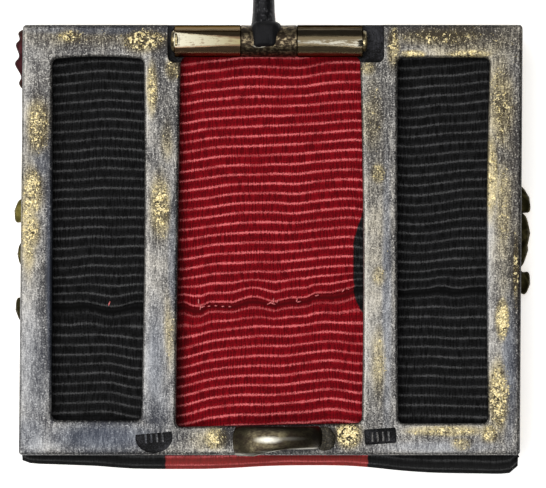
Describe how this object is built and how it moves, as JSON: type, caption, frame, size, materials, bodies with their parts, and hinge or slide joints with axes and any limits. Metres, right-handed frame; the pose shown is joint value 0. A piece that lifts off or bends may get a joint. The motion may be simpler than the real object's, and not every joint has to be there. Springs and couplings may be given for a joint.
{
  "type": "service badge with ribbon and dress pin",
  "caption": "Openwork rectangular service badge: back frame with tube hinge, open dress pin and C catch, folded ribbon, front frame with oak wreath and Roman numerals.",
  "frame": {"origin": "on the flat front face of the numerals, at the middle of the badge; the badge lies on this plane, face down", "axes": "+Z out of the back of the badge, +Y towards the hinge at its top edge, +X to the right as the back is seen"},
  "size_m": [0.0376, 0.0606, 0.008],
  "materials": {
    "worn_silver_gilt": "grey silver with worn gilding, brushed and matt",
    "gilt": "worn gilding, satin",
    "dark_steel": "blackened, semi-matt",
    "ribbon_silk": "ribbed black, red and black silk"
  },
  "bodies": {
    "badge": {"back_frame": "worn_silver_gilt", "hinge_rod": "gilt", "ribbon": "ribbon_silk", "front_frame": "gilt", "oak_wreath": "gilt", "numerals": "gilt"},
    "pin": {"dress_pin": "dark_steel"}
  },
  "joints": [
    {"name": "pin_hinge", "type": "hinge", "parent": "badge", "child": "pin", "pos_m": [0, 0.0143, 0.00605], "axis": [1, 0, 0], "range_deg": [0, 186]}
  ]
}
